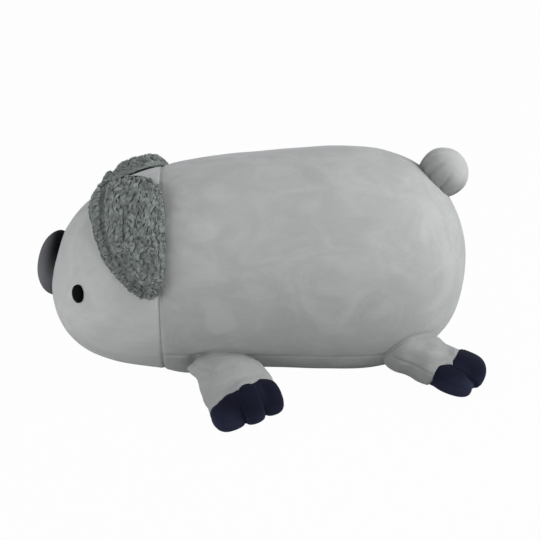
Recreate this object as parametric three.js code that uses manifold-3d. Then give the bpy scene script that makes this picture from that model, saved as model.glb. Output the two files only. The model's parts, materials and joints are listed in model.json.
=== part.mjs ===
// Plush koala lying on its belly: sewn covers over fibre stuffing, flexing at its seams.
// Millimetres, +Z up. The toy faces -Y, its left side is +X and its belly rests on z = 0.
import * as THREE from "three";
import Module from "manifold-3d";

const wasm = await Module();
wasm.setup();

// Clearances and fabric
const SEAM_GAP = 0.3; // between pieces that are sewn or laid together
const FLEX_CLEARANCE = 0.8; // between the body and what bends beside it
const SEAT_CLEARANCE = 0.5; // between a turning root and the covers round it
const FILL_CLEARANCE = 1.3; // between a turning root and the stuffing behind the covers
const COVER_THICKNESS = 2.5; // short plush with its backing
const FLOOR_FLAT = 0.8; // how far a foot is pressed flat on the floor

// Body and head, one swelling form with its widest place behind the middle
const FRONT_REACH = 227; // from the middle of the belly to the front of the face
const REAR_REACH = 199;
const WIDEST_Y = 54;
const BODY_WIDTH = 234;
const BODY_HEIGHT = 227;
const FACE_SCALE = 0.85; // of the body's section, where the taper reaches the face
const FACE_BLUNTNESS = 6.2; // exponent of the rounded front end
const RUMP_BLUNTNESS = 3.1;
const BELLY_FLAT_DEPTH = 4;
const FACE_DROP = 26; // how much lower the face's front lies than the body's middle
const FACE_DROP_BLUNTNESS = 2.4;
const RUMP_DROP = 2;
const HEAD_SEAM_Y = -0.4934 * FRONT_REACH; // ring seam behind the face
const BELLY_SEAM_HEIGHT = 39;

// Nose, eyes and tail
const NOSE_TALL = 70;
const NOSE_WIDE = 50;
const NOSE_DEEP = 44; // the padded oval's full depth, nearly half of it inside the face
const NOSE_HEIGHT = 105;
const NOSE_SINK = 3;
const EYE_TALL = 18.5;
const EYE_WIDE = 14.5;
const EYE_RIM = 1.4;
const EYE_CROWN = 2.6;
const EYE_SHOULDER = 0.7; // share of the radius where the rim turns into the crown
const EYE_HEIGHT = 102;
const EYE_SPREAD = 0.32 * BODY_WIDTH; // sideways from the middle to each eye
const TAIL_DIAMETER = 52;
const TAIL_STANDOFF = 10; // from the rump to the middle of the ball
const TAIL_Y = 167;
const TAIL_SWING = 18; // degrees to each side

// Ears, on the head seam
const EAR_BASE_ANGLE = 36; // degrees above the side of the head, to the middle of the base
const EAR_OVERLAP = 9; // how far the base reaches behind the head seam
const EAR_THICKNESS = 20;
const EAR_RIM = 9;
const EAR_FLARE = 2; // degrees that the flap leans off the head
const EAR_SINK = 1.5; // the inner face's bed before it is cut to the head
const EAR_LAYER_GAP = 0.6; // at the rim, wider where the ear is thicker
const EAR_PANEL_SHARE = 0.38; // of the thickness, for each of the two panels
const EAR_FULLNESS = 3; // exponent of the thickness, from the middle out to the rim
const EAR_RING_SHARES = [0.45, 0.8, 1]; // of the way from the middle out to the rim
// Outline of the flap laid flat: forward of the base, and up along the head
const EAR_OUTLINE = [
  [75, 36], [72, 62], [59, 77], [40, 81], [20, 73], [4, 52],
  [0, 20], [0, -22], [4, -47], [17, -53], [40, -40], [64, -10],
];

// Legs: length along each leg is measured outward from the pivot in its root
const ROOT_RING_ANGLES = [32, 58, 84, 112]; // degrees round the root's end, from its tip
const FOOT_LENGTH = 43; // from the widest part of the foot to the toe tips
const FOOT_WIDTH = 74;
const FOOT_HEIGHT = 41;
const TOE_WIDTH = 29;
const OUTER_TOE_HEIGHT = 31; // the outer toes lie lower than the middle one
const TOE_LENGTH = 46; // of each toe's rounded form
const SCALLOP_RADIUS = FOOT_WIDTH / 4;
const SCALLOP_BOW = 9; // how far each toe's edge bows back
const TOES = [-1, 0, 1];
// standoff is from the skin out to the pivot, toeStep how far the middle toe leads its neighbours,
// capLength the dark fabric's from its scalloped edge to the tip; turns and lift are in degrees
const LEGS = [
  {
    name: "front", y: -50, standoff: 14, length: 100, rootWidth: 72, rootHeight: 50,
    toeStep: 4, capLength: 30, yaw: 14, pitch: 0, roll: 15, lift: 25,
  },
  {
    name: "rear", y: 130, standoff: -7, length: 88, rootWidth: 64, rootHeight: 66,
    toeStep: 9, capLength: 40, yaw: 78, pitch: 21, roll: -2, lift: 15,
  },
];

// Facets round and along each form, fewer inside it
const BODY_FACETS = { columns: 28, rows: 18 };
const BODY_INNER_FACETS = { columns: 18, rows: 12 };
const NOSE_FACETS = { columns: 14, rows: 10 };
const NOSE_INNER_FACETS = { columns: 10, rows: 6 };
const TAIL_FACETS = { columns: 16, rows: 10 };
const TAIL_INNER_FACETS = { columns: 10, rows: 7 };
const LEG_FACETS = { round: 12, columns: 8, rows: 6 };
const LEG_INNER_FACETS = { round: 8, columns: 6, rows: 4 };
const EYE_COLUMNS = 20;
const EAR_COLUMNS = 22;
const SCALLOP_COLUMNS = 10;

// How closely and how finely a turning root's seat is cut
const COVER_SEAT = { clearance: SEAT_CLEARANCE, columns: 20, rows: 12 };
const FILL_SEAT = { clearance: FILL_CLEARANCE, columns: 10, rows: 7 };

const GREY_PLUSH = fabric(0xa9abab);
const DARK_VELVET = fabric(0x1b1c28);
const NOSE_VELVET = fabric(0x3f4144);
const SHERPA = fabric(0x6d7371);
const STUFFING = fabric(0xeeeae0);
const EYE_BLACK = new THREE.MeshStandardMaterial({ color: 0x0e0f12, roughness: 0.55, metalness: 0 });

function fabric(color) {
  return new THREE.MeshStandardMaterial({ color, roughness: 0.95, metalness: 0 });
}

function radians(degrees) {
  return THREE.MathUtils.degToRad(degrees);
}

// Solids

// Closed skin over rings of points, from one end point to the other
function skin(start, rings, end) {
  const points = [start, ...rings.flat(), end];
  const columns = rings[0].length;
  const faces = [];
  const at = (ring, column) => 1 + ring * columns + (column % columns);
  for (let column = 0; column < columns; column++) {
    faces.push(0, at(0, column), at(0, column + 1));
    for (let ring = 0; ring + 1 < rings.length; ring++) {
      faces.push(at(ring, column), at(ring + 1, column), at(ring, column + 1));
      faces.push(at(ring, column + 1), at(ring + 1, column), at(ring + 1, column + 1));
    }
    faces.push(at(rings.length - 1, column), points.length - 1, at(rings.length - 1, column + 1));
  }
  const geometry = new THREE.BufferGeometry().setFromPoints(points);
  geometry.setIndex(faces);
  return geometry;
}

// Moves a closed skin inward by a depth, or outward if the depth is negative
function inset(geometry, depth) {
  geometry.computeVertexNormals();
  const { position, normal } = geometry.attributes;
  for (let i = 0; i < position.count; i++) {
    position.setXYZ(
      i,
      position.getX(i) - depth * normal.getX(i),
      position.getY(i) - depth * normal.getY(i),
      position.getZ(i) - depth * normal.getZ(i),
    );
  }
  return geometry;
}

function ellipsoid(halfX, halfY, halfZ, { columns, rows }) {
  const rings = [];
  for (let row = 1; row < rows; row++) {
    const along = (Math.PI * row) / rows;
    const ring = [];
    for (let column = 0; column < columns; column++) {
      const round = (2 * Math.PI * column) / columns;
      ring.push(new THREE.Vector3(
        halfX * Math.sin(along) * Math.cos(round),
        -halfY * Math.cos(along),
        halfZ * Math.sin(along) * Math.sin(round),
      ));
    }
    rings.push(ring);
  }
  return skin(new THREE.Vector3(0, -halfY, 0), rings, new THREE.Vector3(0, halfY, 0));
}

// Ellipsoid whose flat facets lie outside the round one
function roundSeat(halfX, halfY, halfZ, facets) {
  const widen = 1 / (Math.cos(Math.PI / facets.columns) * Math.cos(Math.PI / (2 * facets.rows)));
  return ellipsoid(halfX * widen, halfY * widen, halfZ * widen, facets);
}

// Box between two corners
function block(low, high) {
  const size = high.clone().sub(low);
  const middle = low.clone().add(high).multiplyScalar(0.5);
  return new THREE.BoxGeometry(size.x, size.y, size.z).translate(middle.x, middle.y, middle.z);
}

function solid(geometry) {
  const position = geometry.attributes.position;
  const order = new Map();
  const vertProperties = [];
  const triVerts = [];
  for (let i = 0; i < geometry.index.count; i++) {
    const vertex = geometry.index.getX(i);
    const point = [position.getX(vertex), position.getY(vertex), position.getZ(vertex)];
    const key = point.join();
    if (!order.has(key)) {
      order.set(key, order.size);
      vertProperties.push(...point);
    }
    triVerts.push(order.get(key));
  }
  return new wasm.Manifold(new wasm.Mesh({
    numProp: 3,
    vertProperties: new Float32Array(vertProperties),
    triVerts: new Uint32Array(triVerts),
  }));
}

function piece(name, manifold, material) {
  const { vertProperties, triVerts } = manifold.getMesh();
  const geometry = new THREE.BufferGeometry();
  geometry.setAttribute("position", new THREE.BufferAttribute(new Float32Array(vertProperties), 3));
  geometry.setIndex(new THREE.BufferAttribute(new Uint32Array(triVerts), 1));
  const mesh = new THREE.Mesh(geometry, material);
  mesh.name = name;
  return mesh;
}

// Body and head

const SPAN = 2 * (FRONT_REACH + REAR_REACH + BODY_WIDTH + BODY_HEIGHT); // larger than the toy

// Half width, half height and middle height of the body's section at y
function section(y) {
  const front = y < WIDEST_Y;
  const reach = front ? WIDEST_Y + FRONT_REACH : REAR_REACH - WIDEST_Y;
  const share = Math.abs(y - WIDEST_Y) / reach;
  const taper = front ? 1 - (1 - FACE_SCALE) * share : 1;
  const bluntness = front ? FACE_BLUNTNESS : RUMP_BLUNTNESS;
  const swell = taper * Math.sqrt(Math.max(0, 1 - share ** bluntness));
  const shift = front ? -FACE_DROP * share ** FACE_DROP_BLUNTNESS : -RUMP_DROP * share ** 2;
  return {
    halfWidth: (BODY_WIDTH / 2) * swell,
    halfHeight: (BODY_HEIGHT / 2) * swell,
    middle: BODY_HEIGHT / 2 - BELLY_FLAT_DEPTH + shift,
  };
}

// Point on the body's skin: the angle is measured up from its left side
function bodyPoint(y, angle) {
  const { halfWidth, halfHeight, middle } = section(y);
  return new THREE.Vector3(halfWidth * Math.cos(angle), y, middle + halfHeight * Math.sin(angle));
}

function bodyNormal(y, angle) {
  const step = 0.01;
  const along = bodyPoint(y + step, angle).sub(bodyPoint(y - step, angle));
  const round = bodyPoint(y, angle + step).sub(bodyPoint(y, angle - step));
  return along.cross(round).normalize();
}

// Angle on the section at y that lies at a height, on the left side
function angleAtHeight(y, height) {
  const { halfHeight, middle } = section(y);
  return Math.asin(THREE.MathUtils.clamp((height - middle) / halfHeight, -1, 1));
}

// The y in front of the widest place where the skin reaches a spread at a height
function faceY(spread, height) {
  const halvings = 40;
  let inside = HEAD_SEAM_Y;
  let outside = -FRONT_REACH;
  for (let i = 0; i < halvings; i++) {
    const y = (inside + outside) / 2;
    const { halfWidth, halfHeight, middle } = section(y);
    const within = (spread / halfWidth) ** 2 + ((height - middle) / halfHeight) ** 2 < 1;
    inside = within ? y : inside;
    outside = within ? outside : y;
  }
  return inside;
}

// The body's whole form, inset by a depth and flat at its belly
function bodyForm(depth, { columns, rows }) {
  const length = FRONT_REACH + REAR_REACH;
  const rings = [];
  for (let row = 1; row < rows; row++) {
    const y = -FRONT_REACH + (length * (1 - Math.cos((Math.PI * row) / rows))) / 2;
    const ring = [];
    for (let column = 0; column < columns; column++) {
      ring.push(bodyPoint(y, (2 * Math.PI * column) / columns));
    }
    rings.push(ring);
  }
  const front = bodyPoint(-FRONT_REACH, 0);
  const rear = bodyPoint(REAR_REACH, 0);
  return solid(inset(skin(front, rings, rear), depth)).subtract(below(Math.max(0, depth)));
}

const fineBody = (depth) => bodyForm(depth, BODY_FACETS);
const coarseBody = (depth) => bodyForm(depth, BODY_INNER_FACETS);

function aheadOf(y) {
  return solid(block(new THREE.Vector3(-SPAN, -SPAN, -SPAN), new THREE.Vector3(SPAN, y, SPAN)));
}

function below(z) {
  return solid(block(new THREE.Vector3(-SPAN, -SPAN, -SPAN), new THREE.Vector3(SPAN, SPAN, z)));
}

function buildTorso(coverSeats, fillSeats) {
  const torso = new THREE.Group();
  let shell = fineBody(0).subtract(coarseBody(COVER_THICKNESS));
  let stuffing = coarseBody(COVER_THICKNESS + SEAM_GAP);
  for (const seat of coverSeats) shell = shell.subtract(seat);
  for (const seat of fillSeats) stuffing = stuffing.subtract(seat);
  const headEdge = aheadOf(HEAD_SEAM_Y - SEAM_GAP / 2);
  const behindHead = shell.subtract(aheadOf(HEAD_SEAM_Y + SEAM_GAP / 2));
  torso.add(piece("head_cover", shell.intersect(headEdge), GREY_PLUSH));
  torso.add(piece("back_cover", behindHead.subtract(below(BELLY_SEAM_HEIGHT + SEAM_GAP / 2)), GREY_PLUSH));
  torso.add(piece("belly_cover", behindHead.intersect(below(BELLY_SEAM_HEIGHT - SEAM_GAP / 2)), GREY_PLUSH));
  torso.add(piece("body_stuffing", stuffing, STUFFING));
  return torso;
}

// Face

function turnTo(direction) {
  return new THREE.Quaternion().setFromUnitVectors(new THREE.Vector3(0, 1, 0), direction);
}

function buildNose(bed) {
  const nose = new THREE.Group();
  const y = faceY(0, NOSE_HEIGHT);
  const angle = Math.sign(NOSE_HEIGHT - section(y).middle) * (Math.PI / 2);
  const facing = bodyNormal(y, angle);
  const place = new THREE.Matrix4().compose(
    new THREE.Vector3(0, y, NOSE_HEIGHT).addScaledVector(facing, -NOSE_SINK),
    turnTo(facing),
    new THREE.Vector3(1, 1, 1),
  );
  const form = (depth, facets) => solid(ellipsoid(
    NOSE_WIDE / 2 - depth, NOSE_DEEP / 2 - depth, NOSE_TALL / 2 - depth, facets,
  ).applyMatrix4(place));
  const cover = form(0, NOSE_FACETS).subtract(form(COVER_THICKNESS, NOSE_INNER_FACETS));
  const stuffing = form(COVER_THICKNESS + SEAM_GAP, NOSE_INNER_FACETS);
  nose.add(piece("nose_cover", cover.subtract(bed), NOSE_VELVET));
  nose.add(piece("nose_stuffing", stuffing.subtract(bed), STUFFING));
  return nose;
}

function buildEye(name, side, bed) {
  const radius = EYE_TALL / 2;
  const y = faceY(EYE_SPREAD, EYE_HEIGHT);
  const facing = bodyNormal(y, angleAtHeight(y, EYE_HEIGHT));
  const profile = [[0, -EYE_CROWN], [radius, -EYE_CROWN], [radius, EYE_RIM]];
  profile.push([radius * EYE_SHOULDER, (EYE_RIM + EYE_CROWN) / 2], [0, EYE_CROWN]);
  const disc = new THREE.LatheGeometry(profile.map(([x, z]) => new THREE.Vector2(x, z)), EYE_COLUMNS);
  const place = new THREE.Matrix4().compose(
    new THREE.Vector3(EYE_SPREAD, y, EYE_HEIGHT),
    turnTo(facing),
    new THREE.Vector3(EYE_WIDE / EYE_TALL, 1, 1),
  );
  const eye = piece(name, solid(closed(disc).applyMatrix4(place)).subtract(bed), EYE_BLACK);
  eye.scale.x = side;
  return eye;
}

// Joins a turned form's points that meet, and drops the triangles that fold to nothing
function closed(geometry) {
  const position = geometry.attributes.position;
  const rounded = (length) => Math.round(length * 1e4) + 0;
  const key = (i) => [position.getX(i), position.getY(i), position.getZ(i)].map(rounded).join();
  const first = new Map();
  const same = [];
  for (let i = 0; i < position.count; i++) {
    first.set(key(i), first.get(key(i)) ?? i);
    same.push(first.get(key(i)));
  }
  const faces = [];
  for (let i = 0; i < geometry.index.count; i += 3) {
    const corners = [0, 1, 2].map((corner) => same[geometry.index.getX(i + corner)]);
    if (new Set(corners).size === 3) faces.push(...corners);
  }
  geometry.setIndex(faces);
  return geometry;
}

// Tail

// Frame at the middle of the ball: +Y leads out of the rump
function tailPlace() {
  const top = Math.PI / 2;
  const out = bodyNormal(TAIL_Y, top);
  const middle = bodyPoint(TAIL_Y, top).addScaledVector(out, TAIL_STANDOFF);
  return new THREE.Matrix4().compose(middle, turnTo(out), new THREE.Vector3(1, 1, 1));
}

// Seat in the rump for the ball, wide enough for its swing to each side
function tailSeat(shape) {
  const swing = TAIL_STANDOFF * Math.sin(radians(TAIL_SWING));
  const dip = TAIL_STANDOFF * (1 - Math.cos(radians(TAIL_SWING)));
  const radius = TAIL_DIAMETER / 2 + shape.clearance;
  const [left, right] = [swing, -swing].map((across) => (
    solid(roundSeat(radius, radius, radius, shape).translate(across, -dip, 0).applyMatrix4(tailPlace()))
  ));
  return left.add(right);
}

function buildTail() {
  const tail = new THREE.Group();
  tail.applyMatrix4(tailPlace());
  const ball = (depth, facets) => {
    const radius = TAIL_DIAMETER / 2 - depth;
    return solid(ellipsoid(radius, radius, radius, facets));
  };
  const mouth = aheadOf(-TAIL_DIAMETER / 2 + 2 * COVER_THICKNESS);
  const cover = ball(0, TAIL_FACETS).subtract(ball(COVER_THICKNESS, TAIL_INNER_FACETS));
  tail.add(piece("tail_cover", cover.subtract(mouth), GREY_PLUSH));
  tail.add(piece("tail_stuffing", ball(COVER_THICKNESS + SEAM_GAP, TAIL_INNER_FACETS), STUFFING));
  return tail;
}

// Ears

const EAR_BASE_Y = HEAD_SEAM_Y + EAR_OVERLAP;

// Point of the left ear: flat place on the flap, and level from its inner face to its outer face
function earPoint(forward, up, rimShare, level) {
  const y = EAR_BASE_Y - forward;
  const { halfWidth, halfHeight } = section(EAR_BASE_Y);
  const angle = radians(EAR_BASE_ANGLE) + up / ((halfWidth + halfHeight) / 2);
  const thickness = EAR_RIM + (EAR_THICKNESS - EAR_RIM) * Math.sqrt(1 - rimShare ** EAR_FULLNESS);
  const lift = level * thickness + forward * Math.tan(radians(EAR_FLARE)) - EAR_SINK;
  return bodyPoint(y, angle).addScaledVector(bodyNormal(y, angle), lift);
}

// One layer of the ear between two levels, as rings out to the rim and back
function earLayer(low, high) {
  const corners = EAR_OUTLINE.map(([forward, up]) => new THREE.Vector3(forward, up, 0));
  const edge = new THREE.CatmullRomCurve3(corners, true).getPoints(EAR_COLUMNS).slice(0, -1);
  const middle = edge.reduce((sum, point) => sum.add(point), new THREE.Vector3()).divideScalar(edge.length);
  const ring = (share, level) => edge.map((point) => {
    const place = middle.clone().lerp(point, share);
    return earPoint(place.x, place.y, share, level);
  });
  const outward = EAR_RING_SHARES.map((share) => ring(share, low));
  const inward = EAR_RING_SHARES.toReversed().map((share) => ring(share, high));
  const rings = [...outward, ...inward];
  return skin(earPoint(middle.x, middle.y, 0, low), rings, earPoint(middle.x, middle.y, 0, high));
}

function buildEar(name, side, bed) {
  const ear = new THREE.Group();
  ear.scale.x = side;
  const gap = EAR_LAYER_GAP / EAR_RIM;
  const wadding = earLayer(EAR_PANEL_SHARE + gap, 1 - EAR_PANEL_SHARE - gap);
  ear.add(piece(`${name}_back`, solid(earLayer(1 - EAR_PANEL_SHARE, 1)).subtract(bed), SHERPA));
  ear.add(piece(`${name}_front`, solid(earLayer(0, EAR_PANEL_SHARE)).subtract(bed), SHERPA));
  ear.add(piece(`${name}_wadding`, solid(wadding).subtract(bed), STUFFING));
  return ear;
}

// Legs, each in its own frame: +X runs out along the leg, +Y across it and +Z up

// Swelling tube from the rounded root to inside the toes
function legTube(leg, depth, columns) {
  const rootRadius = leg.rootHeight / 2;
  const toeMiddle = leg.length - TOE_LENGTH / 2;
  const sections = ROOT_RING_ANGLES.map((degrees) => {
    const swell = Math.sin(radians(degrees));
    return [-rootRadius * Math.cos(radians(degrees)), (leg.rootWidth / 2) * swell, rootRadius * swell];
  });
  const foot = [leg.length - FOOT_LENGTH, FOOT_WIDTH / 2, FOOT_HEIGHT / 2];
  const calf = sections.at(-1).map((size, i) => (size + foot[i]) / 2);
  const core = [toeMiddle, (FOOT_WIDTH - TOE_WIDTH / 2) / 2, OUTER_TOE_HEIGHT / 2];
  sections.push(calf, foot, core);
  const rings = sections.map(([along, halfWidth, halfHeight]) => {
    const ring = [];
    for (let column = 0; column < columns; column++) {
      const round = (2 * Math.PI * column) / columns;
      ring.push(new THREE.Vector3(along, halfWidth * Math.sin(round), halfHeight * Math.cos(round)));
    }
    return ring;
  });
  const start = new THREE.Vector3(-rootRadius, 0, 0);
  const end = new THREE.Vector3(toeMiddle + TOE_WIDTH / 2, 0, 0);
  return solid(inset(skin(start, rings, end), depth));
}

// Middle and height of a toe, with all the toes on one sole
function toePlace(leg, toe) {
  const height = toe === 0 ? FOOT_HEIGHT : OUTER_TOE_HEIGHT;
  return {
    along: leg.length - TOE_LENGTH / 2 - Math.abs(toe) * leg.toeStep,
    across: (toe * (FOOT_WIDTH - TOE_WIDTH)) / 2,
    up: (height - FOOT_HEIGHT) / 2,
    height,
  };
}

// The leg's whole form with its three toes, inset by a depth
function legForm(leg, depth, facets) {
  let form = legTube(leg, depth, facets.round);
  for (const toe of TOES) {
    const { along, across, up, height } = toePlace(leg, toe);
    const lobe = ellipsoid(
      TOE_LENGTH / 2 - depth, TOE_WIDTH / 2 - depth / 2, height / 2 - depth, facets,
    ).translate(along, across, up);
    form = form.add(solid(lobe));
  }
  return form;
}

// Everything past the scalloped edge of the dark toe caps, widened by a margin
function toeRegion(leg, margin) {
  const scallopAt = leg.length - leg.capLength + SCALLOP_BOW;
  let region = solid(block(
    new THREE.Vector3(scallopAt - margin, -SPAN, -SPAN / 2),
    new THREE.Vector3(SPAN, SPAN, SPAN / 2),
  ));
  for (const toe of TOES) {
    const radius = SCALLOP_RADIUS + margin;
    const post = new THREE.CylinderGeometry(radius, radius, SPAN, SCALLOP_COLUMNS)
      .rotateX(Math.PI / 2)
      .scale((SCALLOP_BOW + margin) / radius, 1, 1);
    const along = scallopAt - Math.abs(toe) * leg.toeStep;
    const { across } = toePlace(leg, toe);
    const ahead = block(
      new THREE.Vector3(along, across - radius, -SPAN / 2),
      new THREE.Vector3(SPAN, across + radius, SPAN / 2),
    );
    region = region.add(solid(closed(post).translate(along, across, 0))).add(solid(ahead));
  }
  return region;
}

// Turned frame of a left leg, set down so that its lowest toe or root meets the floor
function legPlace(leg) {
  const turn = new THREE.Matrix4().makeRotationFromEuler(
    new THREE.Euler(radians(leg.roll), radians(leg.pitch), radians(leg.yaw), "ZYX"),
  );
  const lowest = legForm(leg, 0, LEG_FACETS).transform(turn.elements).boundingBox().min[2];
  const height = -lowest - FLOOR_FLAT;
  const skinX = bodyPoint(leg.y, angleAtHeight(leg.y, height)).x;
  return turn.setPosition(skinX + leg.standoff, leg.y, height);
}

// A leg's root, round about its hinge line and widened by a margin
function legRoot(leg, shape) {
  const half = leg.rootHeight / 2 + shape.clearance;
  return solid(roundSeat(half, leg.rootWidth / 2 + shape.clearance, half, shape));
}

// Seat in the body for a leg's root, on one side
function legSeat(leg, side, shape) {
  const seat = legRoot(leg, shape).transform(legPlace(leg).elements);
  return side > 0 ? seat : seat.mirror([1, 0, 0]);
}

// What a leg keeps clear of past its root: the body where the leg lies, and as the lifted leg meets it
function legRelief(leg, place) {
  const body = fineBody(-FLEX_CLEARANCE).transform(place.clone().invert().elements);
  return body.add(body.rotate([0, leg.lift, 0])).subtract(legRoot(leg, { ...COVER_SEAT, clearance: 0 }));
}

function buildLeg(leg, side) {
  const place = legPlace(leg);
  const name = `${leg.name}_${side > 0 ? "left" : "right"}`;
  const sideGroup = new THREE.Group();
  sideGroup.scale.x = side;
  const group = new THREE.Group();
  group.applyMatrix4(place);
  sideGroup.add(group);

  const form = (depth, facets) => {
    const floor = below(depth).transform(place.clone().invert().elements);
    return legForm(leg, depth, facets).subtract(floor);
  };
  const relief = legRelief(leg, place);
  const hollow = form(COVER_THICKNESS, LEG_INNER_FACETS);
  const shell = form(0, LEG_FACETS).subtract(hollow).subtract(relief);
  const legShell = shell.subtract(toeRegion(leg, SEAM_GAP));
  const toeShell = shell.intersect(toeRegion(leg, 0));
  group.add(piece(`${name}_leg_top`, legShell.subtract(below(SEAM_GAP / 2)), GREY_PLUSH));
  group.add(piece(`${name}_leg_sole`, legShell.intersect(below(-SEAM_GAP / 2)), GREY_PLUSH));
  group.add(piece(`${name}_toes_top`, toeShell.subtract(below(SEAM_GAP / 2)), DARK_VELVET));
  group.add(piece(`${name}_toes_sole`, toeShell.intersect(below(-SEAM_GAP / 2)), DARK_VELVET));
  const stuffing = form(COVER_THICKNESS + SEAM_GAP, LEG_INNER_FACETS).subtract(relief);
  group.add(piece(`${name}_leg_stuffing`, stuffing, STUFFING));
  return sideGroup;
}

// The whole toy

function buildKoala() {
  const koala = new THREE.Group();
  const bed = fineBody(-SEAM_GAP);
  const seats = (shape) => [
    tailSeat(shape),
    ...LEGS.flatMap((leg) => [legSeat(leg, 1, shape), legSeat(leg, -1, shape)]),
  ];
  koala.add(buildTorso(seats(COVER_SEAT), seats(FILL_SEAT)));
  koala.add(buildNose(bed));
  koala.add(buildTail());
  for (const [sideName, side] of [["left", 1], ["right", -1]]) {
    koala.add(buildEye(`eye_${sideName}`, side, bed));
    koala.add(buildEar(`ear_${sideName}`, side, bed));
    for (const leg of LEGS) koala.add(buildLeg(leg, side));
  }
  return koala;
}

export default buildKoala();
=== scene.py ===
"""Plush koala lying on its belly: stuffed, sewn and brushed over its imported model."""
import json
import math
from typing import NamedTuple

import bpy
import numpy as np
from bpy.props import FloatProperty, FloatVectorProperty, IntProperty, PointerProperty
from mathutils import Euler, Matrix, Vector, noise


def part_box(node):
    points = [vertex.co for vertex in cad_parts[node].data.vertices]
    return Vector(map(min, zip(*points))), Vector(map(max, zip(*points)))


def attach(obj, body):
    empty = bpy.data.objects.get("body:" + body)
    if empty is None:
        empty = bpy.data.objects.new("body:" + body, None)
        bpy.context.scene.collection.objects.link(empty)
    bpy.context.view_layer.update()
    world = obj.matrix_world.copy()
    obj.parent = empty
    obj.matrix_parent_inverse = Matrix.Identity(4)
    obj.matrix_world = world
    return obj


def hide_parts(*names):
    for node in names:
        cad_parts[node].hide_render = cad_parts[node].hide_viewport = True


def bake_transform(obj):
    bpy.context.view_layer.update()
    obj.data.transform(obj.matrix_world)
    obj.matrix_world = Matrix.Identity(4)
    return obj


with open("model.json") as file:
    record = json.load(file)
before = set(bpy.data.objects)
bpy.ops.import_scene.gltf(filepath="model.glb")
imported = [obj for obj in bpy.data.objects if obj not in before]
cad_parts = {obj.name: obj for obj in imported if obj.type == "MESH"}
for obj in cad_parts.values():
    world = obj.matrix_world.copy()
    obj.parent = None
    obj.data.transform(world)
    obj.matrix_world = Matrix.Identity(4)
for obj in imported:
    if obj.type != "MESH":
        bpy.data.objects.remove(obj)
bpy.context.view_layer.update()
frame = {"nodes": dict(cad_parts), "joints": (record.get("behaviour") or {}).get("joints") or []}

bl_info = {
    "name": "Plush koala",
    "version": (1, 0, 0),
    "blender": (4, 5, 0),
    "location": "View3D > Sidebar > Plush koala",
    "description": "Stuffs and dresses a lying plush koala over its packed model",
    "category": "Object",
}

JOINTS = {joint["name"]: joint for joint in frame["joints"]}
MM = 0.001
HEAD_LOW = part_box("head_cover")[0]
BACK_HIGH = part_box("back_cover")[1]
HEAD_SEAM_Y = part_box("head_cover")[1].y
BELLY_SEAM_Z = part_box("belly_cover")[1].z
BELLY_FLAT = 4 * MM
SIDES = (("left", 1), ("right", -1))
TOES = (-1, 0, 1)

# Seam between the ear's panels and a parting in its pile, in millimetres forward of the base and up the head
EAR_SEAM = ((57, 80), (61, 62), (62, 47), (60, 16), (52, -9), (38, -29), (24, -46), (12, -56))
EAR_PARTING = ((41, 30), (40, 18), (39, 0))
TUFTS_IN_A_LOCK = 7

# How tightly each kind of piece is stuffed, apart from the body
FILL = {"nose": 0.8, "ear": 0.5, "leg": 0.8, "tail": 0.8}

# Length and pressure of a cloth simulation
CLOTH_FRAMES = 20
CLOTH_PRESSURE = 4

# How deep under the body's skin a piece is sewn on, and the least length to divide by
SEWN_DEPTH = 5 * MM
TINY = 1e-9

# Sockets of a colour Mix node, whose names repeat
MIX_FACTOR, MIX_DARK, MIX_LIGHT = 0, 6, 7

# Place and size of each soft light
LAMPS = {"key": ((0.6, 1.75, 1.15), 1.2), "fill": ((0.9, -1.6, 0.15), 1.9)}


class LegForm(NamedTuple):
    """How one pair of legs is sewn, in millimetres, shares and degrees."""

    crease: tuple  # depth and width of the crease in the body above the root
    shift: tuple  # how far the root's front is drawn forward at its top, and back below
    pinch: float  # how deep the root is pinched where it meets the body
    calf: tuple  # added half height of the calf, and how far it sags
    lie: float  # how light or dark the plush is painted: partly for the way its pile lies, partly painted shade
    lean: float  # how far the middle toe leans across the foot
    cap_slant: float  # how much the toe caps' edge slants across the foot
    middle_cap: float  # how much less of the middle toe the cap takes in
    outer_bow: float  # share of the caps' scalloped bow on the outer sides of the foot
    splay: float  # how far the grooves between the toes lean apart
    bend: tuple  # two places along the leg near its hinge, worked out for each leg
    folds: tuple  # creases pressed into the top: places along and across it, depth and width


LEG_FORMS = {
    "front": LegForm(
        crease=(4.0, 4.5), shift=(9, 10), pinch=3.2, calf=(0, 0), lie=-0.5,
        lean=4, cap_slant=-0.13, middle_cap=3.5, outer_bow=-0.35, splay=0, bend=(-10, 34),
        folds=(
            (((-6, -33), (10, -25), (27, -17)), 2.0, 3.5),
            (((32, -18), (35, -9), (39, -1)), 1.6, 5.5),
            (((58, -26), (64, -18), (69, -8)), 1.4, 4.5),
            (((8, 30), (24, 24), (36, 14)), 0.9, 6.0),
        ),
    ),
    "rear": LegForm(
        crease=(1.5, 2.2), shift=(0, 0), pinch=1.4, calf=(4, 5), lie=-0.8,
        lean=-6, cap_slant=0.2, middle_cap=0, outer_bow=0.1, splay=42, bend=(-8, 44),
        folds=(
            (((4, -36), (8, -28), (14, -20)), 1.2, 9.0),
            (((30, -34), (34, -20), (33, -6)), 1.0, 7.0),
        ),
    ),
}


def screen(*levels):
    """Linear colour of an 8-bit screen colour."""
    return tuple(((level / 255 + 0.055) / 1.055) ** 2.4 for level in levels)


def number_property(name, description, default, **kind):
    return FloatProperty(name=name, description=description, default=default, **kind)


def count_property(name, description, default):
    return IntProperty(name=name, description=description, default=default, min=0)


def length_property(name, description, default):
    return number_property(name, description, default, unit="LENGTH", precision=4)


def size_property(name, description, *millimetres):
    return FloatVectorProperty(
        name=name, description=description, default=[length * MM for length in millimetres],
        size=len(millimetres), unit="LENGTH", precision=4,
    )


def turn_property(name, description, *degrees):
    return FloatVectorProperty(
        name=name, description=description, default=[math.radians(angle) for angle in degrees],
        subtype="EULER",
    )


def angle_property(name, description, degrees):
    return number_property(name, description, math.radians(degrees), subtype="ANGLE")


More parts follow.
